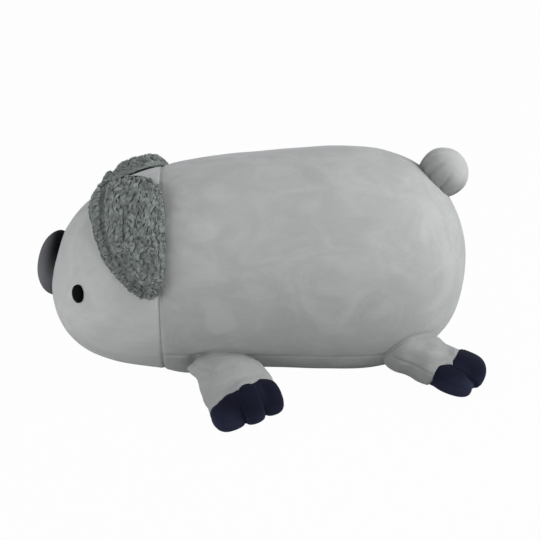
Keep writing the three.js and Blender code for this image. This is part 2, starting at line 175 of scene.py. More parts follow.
def colour_property(name, description, *levels):
    return FloatVectorProperty(
        name=name, description=description, default=screen(*levels), subtype="COLOR", min=0, max=1,
    )


class KoalaBody(bpy.types.PropertyGroup):
    front_reach: length_property("Front reach", "From the belly's middle to the face", -HEAD_LOW.y)
    rear_reach: length_property("Rear reach", "From the belly's middle to the rump", BACK_HIGH.y)
    width: length_property("Width", "Widest section of the body", 2 * BACK_HIGH.x)
    height: length_property("Height", "Tallest section of the body", BACK_HIGH.z + BELLY_FLAT)
    widest_y: length_property("Widest place", "Behind the belly's middle", 54 * MM)
    face_drop: length_property("Face drop", "How much lower the face's front lies", 26 * MM)
    rump_drop: length_property("Rump drop", "How much lower the rump's end lies", 2 * MM)
    face_scale: number_property("Face scale", "Share of the body's section at the face", 0.85)
    face_bluntness: number_property("Face bluntness", "Exponent of the front end", 6.2)
    drop_bluntness: number_property("Drop bluntness", "Exponent of the face's drop", 2.4)
    rump_bluntness: number_property("Rump bluntness", "Exponent of the rear end", 3.1)
    belly_fullness: number_property("Belly fullness", "Exponent of the section's lower half", 2.2)
    seam_depth: length_property("Seam depth", "How deep a seam's line is drawn in", 1.3 * MM)
    pull: length_property("Pull", "How far the belly is drawn out before each front leg", 7 * MM)
    fill: number_property("Fill", "How tightly the body is stuffed", 0.9, subtype="FACTOR")


class KoalaFace(bpy.types.PropertyGroup):
    nose_size: size_property("Nose size", "Width, depth and height of the padded oval", 52, 44.5, 72)
    nose_height: length_property("Nose height", "Middle of the nose above the floor", 106.5 * MM)
    nose_sink: length_property("Nose sink", "How far the nose's middle lies inside the face", 4.5 * MM)
    eye_width: length_property("Eye width", "Across the oval disc", 14.5 * MM)
    eye_height: length_property("Eye height", "From the oval disc's lowest to its highest edge", 18.5 * MM)


class KoalaEars(bpy.types.PropertyGroup):
    base_angle: angle_property("Base angle", "Middle of the base, above the side of the head", 36)
    base_y: length_property("Base", "Line where the ear is sewn on", HEAD_SEAM_Y + 9 * MM)
    tufts: count_property("Tufts", "Tufts of pile on each ear", 9000)
    tuft_length: length_property("Tuft length", "Along one tuft of the pile", 7 * MM)
    tuft_width: length_property("Tuft width", "Across one tuft of the pile", 1.15 * MM)
    droop: length_property("Droop", "How much lower the right ear's front hangs", 16 * MM)
    corner_drop: length_property("Corner drop", "How much lower the right ear's base corner lies", 14 * MM)
    trim: number_property("Trim", "Share by which the front edge is drawn back below its upper corner", 0.07)
    foot_drop: number_property("Foot drop", "Share by which the ear's foot is drawn down", 0.12)
    perk: length_property("Perk", "How far the left ear's upper corner stands off the head", 8 * MM)
    seam_depth: length_property("Seam depth", "How deep the seam between the panels lies", 3.4 * MM)


class KoalaLegs(bpy.types.PropertyGroup):
    front_length: length_property("Front length", "From the hinge to the toe tips", 100.5 * MM)
    front_root: size_property("Front root", "Root's width and height, toe caps' length", 72, 50, 21.5)
    front_turn: turn_property("Front turn", "Roll, pitch and yaw of the front left leg", 15, 0, 14)
    front_step: length_property("Front toe step", "How far the middle toe leads", 4 * MM)
    rear_length: length_property("Rear length", "From the hinge to the toe tips", 85.5 * MM)
    rear_root: size_property("Rear root", "Root's width and height, toe caps' length", 62, 58, 43)
    rear_turn: turn_property("Rear turn", "Roll, pitch and yaw of the rear left leg", -2, 21, 78)
    rear_step: length_property("Rear toe step", "How far the middle toe leads", 9 * MM)
    foot_size: size_property("Foot size", "Length, width and height of the foot", 43, 72, 41)
    toe_size: size_property("Toe size", "Length and width of a toe", 47, 31.5)
    front_toes: size_property("Front toes", "Middle and outer heights, and the middle's lift", 41, 30, 0)
    rear_toes: size_property("Rear toes", "Middle and outer heights, and the middle's lift", 35, 22, 6)
    scallop_bow: length_property("Scallop bow", "How far each toe's edge bows back", 8 * MM)
    scallop_radius: length_property("Scallop radius", "Half the width of each toe's bowed edge", 11.5 * MM)


class KoalaTail(bpy.types.PropertyGroup):
    diameter: length_property("Diameter", "Across the ball", 53.5 * MM)
    standoff: length_property("Standoff", "From the rump to the ball's middle", 8.5 * MM)
    gathers: count_property("Gathers", "Folds drawn in round the base", 11)
    gather_depth: length_property("Gather depth", "How deep the folds are drawn in", 2.2 * MM)


class KoalaColours(bpy.types.PropertyGroup):
    plush: colour_property("Plush", "Brushed body fabric", 186, 188, 188)
    sherpa: colour_property("Sherpa", "Curly ear fabric", 138, 145, 142)
    toes: colour_property("Toes", "Velvet of the toe caps", 34, 36, 52)
    nose: colour_property("Nose", "Velvet of the nose", 76, 77, 80)
    eyes: colour_property("Eyes", "Matt eye discs", 9, 9, 11)
    floor: colour_property("Floor", "Studio floor", 175, 175, 175)


class KoalaStudio(bpy.types.PropertyGroup):
    azimuth: angle_property("Azimuth", "Camera's turn round the toy", 88)
    elevation: angle_property("Elevation", "Camera's height above the horizon", 22)
    distance: length_property("Distance", "From the aim to the camera", 1.25)
    aim: FloatVectorProperty(
        name="Aim", description="Middle of the picture", default=(0, -2.2 * MM, 94 * MM),
        subtype="TRANSLATION",
    )
    lens: number_property("Lens", "Focal length on a 36 mm sensor", 80, unit="CAMERA")
    key: number_property("Key light", "Power of the soft light behind the rump", 34, unit="POWER")
    fill: number_property("Fill light", "Power of the soft light before the face", 24.5, unit="POWER")
    ambient: number_property("Ambient", "Light from all round", 0.33)


SETTINGS = {
    "koala_body": KoalaBody,
    "koala_face": KoalaFace,
    "koala_ears": KoalaEars,
    "koala_legs": KoalaLegs,
    "koala_tail": KoalaTail,
    "koala_colours": KoalaColours,
    "koala_studio": KoalaStudio,
}


# Shader expressions

class Value:
    """A socket's number, so that shader maths reads as an expression."""

    def __init__(self, finish, socket):
        self.finish = finish
        self.socket = socket

    def math(self, operation, first, second):
        node = self.finish.node("Math", {"operation": operation}, {0: first, 1: second})
        return Value(self.finish, node.outputs[0])

    def __add__(self, other):
        return self.math("ADD", self, other)

    def __mul__(self, other):
        return self.math("MULTIPLY", self, other)

    def __radd__(self, other):
        return self.math("ADD", other, self)

    def __rmul__(self, other):
        return self.math("MULTIPLY", other, self)


class Finish:
    """A procedural material and the nodes that make it."""

    def __init__(self, name):
        self.material = bpy.data.materials.new(name)
        self.material.use_nodes = True
        self.tree = self.material.node_tree
        self.tree.nodes.clear()
        self.output = self.node("OutputMaterial")
        self.place = self.node("TexCoord").outputs["Object"]

    def node(self, kind, settings=None, sockets=None):
        """Adds a node, sets it up, then fills or links its sockets."""
        node = self.tree.nodes.new("ShaderNode" + kind)
        for key, value in (settings or {}).items():
            setattr(node, key, value)
        for key, value in (sockets or {}).items():
            socket = value.socket if isinstance(value, Value) else value
            if isinstance(socket, bpy.types.NodeSocket):
                self.tree.links.new(socket, node.inputs[key])
            else:
                node.inputs[key].default_value = socket
        return node

    def noise(self, size, detail=2.0, roughness=0.5, distortion=0.0, stretch=(1, 1, 1)):
        """Noise from 0 to 1 with features of about a size, in metres."""
        mapping = self.node("Mapping", None, {"Vector": self.place, "Scale": stretch})
        node = self.node("TexNoise", None, {
            "Vector": mapping.outputs[0], "Scale": 1 / size, "Detail": detail,
            "Roughness": roughness, "Distortion": distortion,
        })
        return Value(self, node.outputs["Fac"])

    def step(self, value, low, high):
        """0 below low and 1 above high, smooth between."""
        node = self.node("MapRange", {"interpolation_type": "SMOOTHSTEP"}, {
            "Value": value, "From Min": low, "From Max": high, "To Min": 0, "To Max": 1,
        })
        return Value(self, node.outputs["Result"])

    def attribute(self, name):
        """A number that was stored at every point."""
        node = self.node("Attribute", {"attribute_name": name})
        return Value(self, node.outputs["Fac"])

    def mix(self, factor, dark, light):
        """A colour between dark and light, or past them."""
        node = self.node("Mix", {"data_type": "RGBA", "clamp_factor": False}, {
            MIX_FACTOR: factor, MIX_DARK: dark, MIX_LIGHT: light,
        })
        return next(socket for socket in node.outputs if socket.type == "RGBA")

    def bump(self, height, distance, strength):
        node = self.node("Bump", None, {"Height": height, "Distance": distance, "Strength": strength})
        return node.outputs["Normal"]

    def surface(self, **sockets):
        """Ends the material in a Principled shader."""
        named = {key.replace("_", " ").title(): value for key, value in sockets.items()}
        named["Specular IOR Level"] = named.pop("Specular Ior Level")
        shader = self.node("BsdfPrincipled", None, named)
        self.tree.links.new(shader.outputs[0], self.output.inputs["Surface"])
        return self.material


def shade(colour, level):
    """A colour at a share of its brightness, for a socket."""
    return tuple(channel * level for channel in colour) + (1.0,)


def plush_finish():
    """Brushed plush, lighter or darker by a number stored on each piece: partly the way its pile lies,
    partly painted light and shade.
    """
    colour = bpy.context.scene.koala_colours.plush
    finish = Finish("brushed_plush")
    broad = finish.noise(45 * MM, detail=4, roughness=0.62, distortion=1.4, stretch=(1, 0.7, 1))
    brushed = finish.step(broad, 0.36, 0.66)
    streaks = finish.noise(14 * MM, detail=3, roughness=0.6, distortion=0.6, stretch=(1, 0.5, 1.2))
    pile = finish.noise(1.1 * MM, roughness=0.6)
    fibre = finish.noise(0.45 * MM, detail=1)
    tone = 0.36 * brushed + 0.28 * streaks + 0.24 * pile + 0.12 * fibre + finish.attribute("lie")
    return finish.surface(
        base_color=finish.mix(tone, shade(colour, 0.82), shade(colour, 1.17)),
        roughness=0.88 + 0.1 * pile,
        normal=finish.bump(0.7 * pile + 0.3 * fibre + 1.2 * streaks, 0.5 * MM, strength=0.5),
        sheen_weight=0.22, sheen_roughness=0.45, sheen_tint=(0.93, 0.95, 1, 1), specular_ior_level=0.15,
    )


def velvet_finish(name, colour, dark, light, sheen, tint):
    """Velvet painted lighter and darker by a number stored at every point: painted light on its outer and
    lower parts, painted shade in its creases and where it meets the body.
    """
    finish = Finish(name)
    brushed = finish.step(finish.noise(13 * MM, detail=3, roughness=0.6, distortion=1), 0.36, 0.66)
    pile = finish.noise(0.9 * MM, roughness=0.6)
    tone = finish.attribute("nap") * (0.8 + 0.1 * brushed + 0.1 * pile)
    return finish.surface(
        base_color=finish.mix(tone, shade(colour, dark), shade(colour, light)),
        roughness=0.8 + 0.15 * pile,
        normal=finish.bump(pile, 0.4 * MM, strength=0.4),
        sheen_weight=sheen, sheen_roughness=0.35, sheen_tint=tint, specular_ior_level=0.03,
    )


def sherpa_finish():
    """Curly sherpa: each lock's own tone, with painted shade at the roots of its tufts and on the ear
    beneath them.
    """
    colour = bpy.context.scene.koala_colours.sherpa
    finish = Finish("curly_sherpa")
    tip = finish.attribute("tip")
    clump = finish.step(finish.noise(9 * MM, roughness=0.6), 0.3, 0.7)
    fibre = finish.noise(0.7 * MM, roughness=0.6, stretch=(1, 1, 0.5))
    tone = tip * (0.55 + 0.25 * clump) + 0.2 * fibre
    return finish.surface(
        base_color=finish.mix(tone, shade(colour, 0.43), shade(colour, 2.15)),
        roughness=0.85 + 0.12 * fibre,
        normal=finish.bump(fibre, 0.4 * MM, strength=0.6),
        sheen_weight=0.25, sheen_roughness=0.4, sheen_tint=(0.94, 0.97, 0.96, 1), specular_ior_level=0.2,
    )


def eye_finish():
    """Matt black with a fine grain."""
    colour = bpy.context.scene.koala_colours.eyes
    finish = Finish("matt_eye")
    grain = finish.noise(0.5 * MM, detail=3, roughness=0.65)
    wear = finish.noise(5 * MM)
    return finish.surface(
        base_color=finish.mix(0.6 * grain + 0.4 * wear, shade(colour, 0.6), shade(colour, 1.5)),
        roughness=0.5 + 0.14 * grain,
        normal=finish.bump(grain, 0.1 * MM, strength=0.4), specular_ior_level=0.02,
    )


def studio_finish(name, colour):
    """White to the camera apart from a trace of the toy's shadow, and a pale diffuse floor to the light."""
    finish = Finish(name)
    rays = finish.node("LightPath")
    camera, glossy, through = (
        Value(finish, rays.outputs[f"Is {kind} Ray"]) for kind in ("Camera", "Glossy", "Transmission")
    )
    pale = finish.node("BsdfDiffuse", None, {"Color": shade(colour, 1)})
    white = finish.node("Emission", None, {"Color": (1, 1, 1, 1), "Strength": 1.0})
    camera_share = 0.98
    share = camera_share * camera + glossy + through
    mixed = finish.node("MixShader", None, {0: share, 1: pale.outputs[0], 2: white.outputs[0]})
    finish.tree.links.new(mixed.outputs[0], finish.output.inputs["Surface"])
    return finish.material


# Work on meshes

def activate(piece):
    bpy.ops.object.select_all(action="DESELECT")
    piece.select_set(True)
    bpy.context.view_layer.objects.active = piece


def in_edit_mode(piece, work):
    """Runs work on the whole mesh, selected in edit mode."""
    activate(piece)
    bpy.ops.object.mode_set(mode="EDIT")
    bpy.ops.mesh.select_all(action="SELECT")
    work()
    bpy.ops.object.mode_set(mode="OBJECT")


def primitive(add, **settings):
    """A new piece from one of the primitive operators."""
    bpy.ops.object.select_all(action="DESELECT")
    add(**settings)
    return bpy.context.object


def apply_modifier(piece, kind, **settings):
    activate(piece)
    modifier = piece.modifiers.new(kind.lower(), kind)
    for key, value in settings.items():
        setattr(modifier, key, value)
    bpy.ops.object.modifier_apply(modifier=modifier.name)


def bisect(piece, place, normal, **options):
    in_edit_mode(piece, lambda: bpy.ops.mesh.bisect(plane_co=place, plane_no=normal, **options))


def remesh(piece, voxel, smoothing):
    """Even closed mesh over everything in a piece, with its steps smoothed away."""
    apply_modifier(piece, "REMESH", mode="VOXEL", voxel_size=voxel)
    apply_modifier(piece, "SMOOTH", factor=0.5, iterations=smoothing)


def refine(piece):
    """Divides every face in four and rounds the mesh."""
    apply_modifier(piece, "SUBSURF", levels=1, render_levels=1)


def link(name, mesh):
    piece = bpy.data.objects.new(name, mesh)
    bpy.context.scene.collection.objects.link(piece)
    return piece


def copy_of(piece, name):
    return link(name, piece.data.copy())


def mirrored(piece, name):
    """Copy on the other side of the toy."""
    copy = copy_of(piece, name)
    copy.data.transform(Matrix.Scale(-1, 4, (1, 0, 0)))
    copy.data.flip_normals()
    return copy


def join(pieces):
    bpy.ops.object.select_all(action="DESELECT")
    for piece in pieces:
        piece.select_set(True)
    bpy.context.view_layer.objects.active = pieces[0]
    bpy.ops.object.join()
    return pieces[0]


def copy_nodes(name, nodes):
    """One new piece from merged copies of solids."""
    piece = join([copy_of(frame["nodes"][node], name) for node in nodes])
    piece.data.materials.clear()
    in_edit_mode(piece, lambda: bpy.ops.mesh.remove_doubles(threshold=0.01 * MM))
    return piece


def rounded_form(name, size, fullness=2.0):
    """A padded lump with its middle at the origin; a fullness above 2 squares it off a little."""
    piece = primitive(bpy.ops.mesh.primitive_uv_sphere_add, segments=48, ring_count=32, radius=1)
    piece.name = name
    ball = points_of(piece)
    reach = (np.abs(ball) ** fullness).sum(axis=1) ** (-1 / fullness)
    move_points(piece, ball * reach[:, None] * np.array(size) / 2)
    return piece


def points_of(piece):
    points = np.empty(len(piece.data.vertices) * 3)
    piece.data.vertices.foreach_get("co", points)
    return points.reshape(-1, 3)


def normals_of(piece):
    normals = np.empty(len(piece.data.vertices) * 3)
    piece.data.vertex_normals.foreach_get("vector", normals)
    return normals.reshape(-1, 3)


def move_points(piece, points):
    piece.data.vertices.foreach_set("co", points.ravel())
    piece.data.update()


def push(piece, heights):
    """Moves every point out along its normal."""
    move_points(piece, points_of(piece) + normals_of(piece) * heights[:, None])


def rest(piece, floor):
    """Raises whatever lies lower onto a floor."""
    points = points_of(piece)
    points[:, 2] = np.maximum(points[:, 2], floor)
    move_points(piece, points)


def lumps(points, size, seed):
    """Soft noise from -1 to 1 at each point."""
    shift = Vector((seed * 17.3, seed * 7.1, seed * 3.7))
    return np.array([noise.noise(Vector(point) / size + shift) for point in points])


def line(distance, width):
    """1 on a line, falling to 0 a few widths away."""
    return np.exp(-(distance / width) ** 2)


def rise(values, low, high):
    """0 below low and 1 above high, smooth between."""
    share = np.clip((values - low) / (high - low), 0, 1)
    return share * share * (3 - 2 * share)


def distance_to(places, track):
    """How far flat places lie from a track of points, given in millimetres."""
    corners = np.array(track) * MM
    nearest = np.full(len(places), 1.0)
    for start, end in zip(corners[:-1], corners[1:]):
        run = end - start
        share = np.clip((places - start) @ run / (run @ run), 0, 1)
        nearest = np.minimum(nearest, np.linalg.norm(places - start - share[:, None] * run, axis=1))
    return nearest


def stuff(piece, sewn, slack):
    """Draws a cover in by its slack, then swells it in a short cloth simulation with sewn points held."""
    push(piece, -slack * np.ones(len(piece.data.vertices)))
    start = points_of(piece)
    group = piece.vertex_groups.new(name="sewn")
    group.add(np.flatnonzero(sewn).tolist(), 1, "REPLACE")
    activate(piece)
    cloth = piece.modifiers.new("stuffing", "CLOTH")
    cloth.settings.vertex_group_mass = group.name
    cloth.settings.use_pressure = True
    cloth.settings.uniform_pressure_force = CLOTH_PRESSURE
    cloth.settings.effector_weights.gravity = 0
    cloth.point_cache.frame_start = 1
    cloth.point_cache.frame_end = CLOTH_FRAMES
    for number in range(1, CLOTH_FRAMES + 1):
        bpy.context.scene.frame_set(number)
    bpy.ops.object.modifier_apply(modifier=cloth.name)
    bpy.context.scene.frame_set(1)
    piece.vertex_groups.clear()
    moved = points_of(piece) - start
    distance = np.linalg.norm(moved, axis=1, keepdims=True)
    furthest = 2 * np.max(slack)
    move_points(piece, start + moved * np.minimum(1, furthest / np.maximum(distance, TINY)))


def mark(piece, name, values):
    """Stores a number at every point, for a finish to read."""
    attribute = piece.data.attributes.new(name, "FLOAT", "POINT")
    attribute.data.foreach_set("value", values.astype(np.float32))


def smooth_shading(piece, degrees=55):
    activate(piece)
    bpy.ops.object.shade_smooth_by_angle(angle=math.radians(degrees))


def hand_over(piece, material, fill, nodes, body=None):
    """Gives a finished piece its material and its body, and hides the solids that it stands for."""
    piece.data.materials.clear()
    piece.data.materials.append(material)
    if body:
        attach(piece, body)
    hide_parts(*nodes)


# Body and head

def body_section(y):
    """Half width, half height and middle height of the body's section at y."""
    body = bpy.context.scene.koala_body
    front = y < body.widest_y
    reach = np.where(front, body.front_reach + body.widest_y, body.rear_reach - body.widest_y)
    share = np.clip(np.abs(y - body.widest_y) / reach, 0, 1)
    taper = np.where(front, 1 - (1 - body.face_scale) * share, 1)
    bluntness = np.where(front, body.face_bluntness, body.rump_bluntness)
    swell = taper * np.sqrt(1 - share ** bluntness)
    shift = np.where(front, -body.face_drop * share ** body.drop_bluntness, -body.rump_drop * share ** 2)
    return body.width / 2 * swell, body.height / 2 * swell, body.height / 2 - BELLY_FLAT + shift


def outside_section(points):
    """How far points lie outside the body's section at their own place along it."""
    half_width, half_height, middle = body_section(points[:, 1])
    x, z = points[:, 0], points[:, 2] - middle
    power = np.where(z < 0, bpy.context.scene.koala_body.belly_fullness, 2)
    across = np.abs(x) / np.maximum(half_width, MM)
    upward = np.abs(z) / np.maximum(half_height, MM)
    radius = (across ** power + upward ** power) ** (1 / power)
    least_radius = 1e-6
    return (1 - 1 / np.maximum(radius, least_radius)) * np.hypot(x, z)


def off_the_skin(points):
    """About how far points lie outside the body's skin."""
    step = np.array([0, 0.5 * MM, 0])
    slope = (outside_section(points + step) - outside_section(points - step)) / MM
    body = bpy.context.scene.koala_body
    past_ends = np.maximum(points[:, 1] - body.rear_reach, -body.front_reach - points[:, 1])
    return np.maximum(outside_section(points) / np.sqrt(1 + slope ** 2), past_ends)


def outward(points):
    """Directions from the body's long middle line out through points."""
    middle = body_section(points[:, 1])[2]
    out = np.stack([points[:, 0], np.zeros(len(points)), points[:, 2] - middle], axis=1)
    return out / np.maximum(np.linalg.norm(out, axis=1, keepdims=True), TINY)


def sew_on(piece, out=None):
    """Lays whatever is deep inside the body a little way under its skin, moving it straight out."""
    points = points_of(piece)
    rounds = 8
    for _ in range(rounds):
        lift = np.maximum(0, -SEWN_DEPTH - off_the_skin(points))
        points = points + (outward(points) if out is None else np.array(out)) * lift[:, None]
    move_points(piece, points)


def face_skin(height):
    """Point on the face's skin at a height on the middle line, and its outward direction."""
    samples = 4000
    y = np.linspace(-bpy.context.scene.koala_body.front_reach, HEAD_SEAM_Y, samples)
    inward = np.stack([0 * y, y, 0 * y + height], axis=1)
    point = inward[np.argmax(off_the_skin(inward) < 0)]
    steps = np.eye(3) * 0.2 * MM
    slope = outside_section(point + steps) - outside_section(point - steps)
    slope[0] = 0
    return Vector(point), Vector(slope).normalized()


def leg_setting(name, key):
    """A setting of the front or the rear legs."""
    return getattr(bpy.context.scene.koala_legs, f"{name}_{key}")


def root_crease(points, name):
    """How deep the body is drawn in along the top of a leg's root."""
    depth, width = LEG_FORMS[name].crease
    hinge = np.array(JOINTS[f"{name}_left_leg_lift"]["pos_m"])
    axes = np.array(Euler(leg_setting(name, "turn"), "XYZ").to_matrix())
    on_the_left = np.abs(points) * (1, 0, 0) + points * (0, 1, 1)
    local = (on_the_left - hinge) @ axes
    root_width, root_height, _ = leg_setting(name, "root")
    along = np.minimum(local[:, 0], 0)
    across = (local[:, 1] - root_shift(*local.T, name)) * root_height / root_width
    off = np.sqrt(along ** 2 + across ** 2 + local[:, 2] ** 2) - root_height / 2 + 2.5 * MM
    fade = rise(local[:, 2], -8 * MM, 8 * MM) * (1 - rise(local[:, 1], -20 * MM, 8 * MM))
    return depth * MM * line(off, width * MM) * fade


def root_shift(along, across, upward, name):
    """How far the front of a leg's root is drawn forward at its top, and back below."""
    forward, back = LEG_FORMS[name].shift
    pull = -forward * rise(upward, 0, 18 * MM) + back * (1 - rise(upward, -8 * MM, 10 * MM))
    return pull * MM * (1 - rise(along, -5 * MM, 30 * MM)) * (1 - rise(across, -30 * MM, 0))


class KOALA_OT_torso(bpy.types.Operator):
    """Makes the stuffed head, back and belly, drawn in along their seams"""

    bl_idname = "koala.torso"
    bl_label = "Head, back and belly"

    def execute(self, context):
        torso = self.form(context.scene.koala_body)
        self.sew(torso, context.scene.koala_body)
        self.split(torso, context.scene.koala_body)
        return {"FINISHED"}

    def form(self, body):
        """The torso's closed cover: a ball laid along the body's sections, then stuffed."""
        torso = primitive(
            bpy.ops.mesh.primitive_uv_sphere_add,
            segments=96, ring_count=72, radius=1, rotation=(math.pi / 2, 0, 0),
        )
        bpy.ops.object.transform_apply(rotation=True)
        ball = points_of(torso)
        y = -body.front_reach + (body.front_reach + body.rear_reach) * (1 + ball[:, 1]) / 2
        angle = np.arctan2(ball[:, 2], ball[:, 0])
        half_width, half_height, middle = body_section(y)
        power = np.where(angle < 0, 2 / body.belly_fullness, 1)
        x = half_width * np.sign(np.cos(angle)) * np.abs(np.cos(angle)) ** power
        z = middle + half_height * np.sign(np.sin(angle)) * np.abs(np.sin(angle)) ** power
        floor_round = 3 * MM
        z = (z + np.sqrt(z ** 2 + floor_round ** 2)) / 2
        move_points(torso, np.stack([x, y, z - z.min()], axis=1))
        remesh(torso, voxel=5 * MM, smoothing=14)
        self.pad(torso, body)
        return torso

    def pad(self, torso, body):
        """Stuffs the cover to its size, pulls it before each front leg and creases it above each root."""
        points = points_of(torso)
        resting = points[:, 2] < 2 * MM
        sewn = self.seam_distance(points) < 4 * MM
        slack = np.where(resting, 0, 1.6 * MM)
        stuff(torso, sewn | resting, slack)
        refine(torso)
        points = points_of(torso)
        above = rise(points[:, 2], 2 * MM, 12 * MM)
        clear = (above == 1) & (self.seam_distance(points) > 15 * MM)
        level = np.median(off_the_skin(points)[clear])
        soft = 1.1 * MM * lumps(points, 70 * MM, seed=1) + 0.45 * MM * lumps(points, 26 * MM, seed=2)
        pull_y = JOINTS["front_left_leg_lift"]["pos_m"][1] - 34 * MM
        pull_z = 13 * MM
        pull = body.pull * line(points[:, 1] - pull_y, 30 * MM) * line(points[:, 2] - pull_z, 13 * MM)
        dents = sum(root_crease(points, name) for name in LEG_FORMS)
        push(torso, above * (soft - level - dents) + pull * rise(points[:, 2], 0, 6 * MM))
        rest(torso, 0)

    def seam_distance(self, points):
        """How far points lie from the ring seam and the belly seams."""
        ring = np.abs(points[:, 1] - HEAD_SEAM_Y)
        side = np.where(points[:, 1] > HEAD_SEAM_Y, np.abs(points[:, 2] - BELLY_SEAM_Z), 1)
        return np.minimum(ring, side)

    def sew(self, torso, body):
        """Cuts extra edges along the seams and draws them in."""
        for offset in (-4 * MM, -1.6 * MM, 0, 1.6 * MM, 4 * MM):
            bisect(torso, (0, HEAD_SEAM_Y + offset, 0), (0, 1, 0))
            bisect(torso, (0, 0, BELLY_SEAM_Z + offset), (0, 0, 1))
        points = points_of(torso)
        distance = self.seam_distance(points)
        pucker = 0.35 * MM * lumps(points, 9 * MM, seed=3) * line(distance, 12 * MM)
        valley = 0.7 * MM * line(distance, 9 * MM) + body.seam_depth * line(distance, 1.7 * MM)
        push(torso, pucker - valley)

    def split(self, torso, body):
        """Parts the torso into its three panels."""
        gap = 0.1 * MM
        ahead = ((0, HEAD_SEAM_Y - gap, 0), (0, 1, 0), "clear_outer")
        behind = ((0, HEAD_SEAM_Y + gap, 0), (0, 1, 0), "clear_inner")
        above = ((0, 0, BELLY_SEAM_Z + gap), (0, 0, 1), "clear_inner")
        under = ((0, 0, BELLY_SEAM_Z - gap), (0, 0, 1), "clear_outer")
        plush = plush_finish()
        panels = (
            ("head_plush", (ahead,), ("head_cover",), (0.15, 0.78)),
            ("back_plush", (behind, above), ("back_cover", "body_stuffing"), (0, 0)),
            ("belly_plush", (behind, under), ("belly_cover",), (0, 0)),
        )
        for name, cuts, nodes, (lie, lower) in panels:
            panel = copy_of(torso, name)
            for place, normal, cleared in cuts:
                bisect(panel, place, normal, use_fill=True, **{cleared: True})
            smooth_shading(panel)
            # Painted light: the head's plush is painted lighter low down on its cheeks, on top of its pile's
            # lie
            mark(panel, "lie", lie + lower * (1 - rise(points_of(panel)[:, 2], 60 * MM, 190 * MM)))
            hand_over(panel, plush, body.fill, nodes, "torso")
        bpy.data.objects.remove(torso)


class KOALA_OT_nose(bpy.types.Operator):
    """Makes the padded oval nose"""

    bl_idname = "koala.nose"
    bl_label = "Nose"

    def execute(self, context):
        face = context.scene.koala_face
        nose = rounded_form("nose_velvet", face.nose_size, fullness=2.1)
        skin, out = face_skin(face.nose_height)
        turn = Vector((0, -1, 0)).rotation_difference(out).to_matrix().to_4x4()
        nose.data.transform(Matrix.Translation(skin - face.nose_sink * out) @ turn)
        remesh(nose, voxel=2.5 * MM, smoothing=6)
        stuff(nose, off_the_skin(points_of(nose)) < 2 * MM, 0.8 * MM)
        refine(nose)
        points = points_of(nose)
        pinch = 1 * MM * line(off_the_skin(points), 2.5 * MM)
        push(nose, 0.3 * MM * lumps(points, 16 * MM, seed=4) - pinch)
        # Painted shade: darker near the face and toward the top, darkest where the nose's upper edge meets
        # the face
        ahead = (points - np.array(skin)) @ np.array(out)
        near = 1 - rise(ahead, 0, 14 * MM)
        upper = rise(points[:, 2] - face.nose_height, -20 * MM, 24 * MM)
        mark(nose, "nap", (1 - near * (0.35 + 0.65 * upper)) * (1 - 0.35 * upper))
        sew_on(nose, out)
        smooth_shading(nose)
        velvet = velvet_finish(
            "padded_velvet", context.scene.koala_colours.nose,
            dark=0.1, light=3.2, sheen=0.08, tint=(0.9, 0.92, 1, 1),
        )
        hand_over(nose, velvet, FILL["nose"], ("nose_cover", "nose_stuffing"), "torso")
        return {"FINISHED"}


class KOALA_OT_eyes(bpy.types.Operator):
    """Makes the two low domed eye discs"""

    bl_idname = "koala.eyes"
    bl_label = "Eyes"

    def execute(self, context):
        black = eye_finish()
        face = context.scene.koala_face
        points = points_of(frame["nodes"]["eye_left"])
        low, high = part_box("eye_left")
        facing = Vector(np.linalg.svd(points - points.mean(axis=0), full_matrices=False)[2][2])
        if facing.x < 0:
            facing.negate()
        eye = primitive(
            bpy.ops.mesh.primitive_cylinder_add,
            vertices=64, radius=0.5, depth=3 * MM, end_fill_type="TRIFAN",
        )
        eye.name = "eye_left_disc"
        in_edit_mode(eye, lambda: bpy.ops.mesh.subdivide(number_cuts=2))
        points = points_of(eye)
        reach = 2 * np.hypot(points[:, 0], points[:, 1])
        crown = 1.2 * MM * (1 - reach ** 4) - 0.3 * MM * reach ** 8
        points[:, 2] += np.where(points[:, 2] > 0, crown, 0)
        move_points(eye, points * np.array([face.eye_width, face.eye_height, 1]))
        apply_modifier(
            eye, "BEVEL", width=0.7 * MM, segments=3, limit_method="ANGLE", angle_limit=math.radians(50),
        )
        turn = facing.to_track_quat("Z", "Y").to_matrix().to_4x4()
        eye.data.transform(Matrix.Translation((low + high) / 2) @ turn)
        smooth_shading(eye, degrees=40)
        for side, eye in (("left", eye), ("right", mirrored(eye, "eye_right_disc"))):
            hand_over(eye, black, None, (f"eye_{side}",), "torso")
        return {"FINISHED"}


# Ears

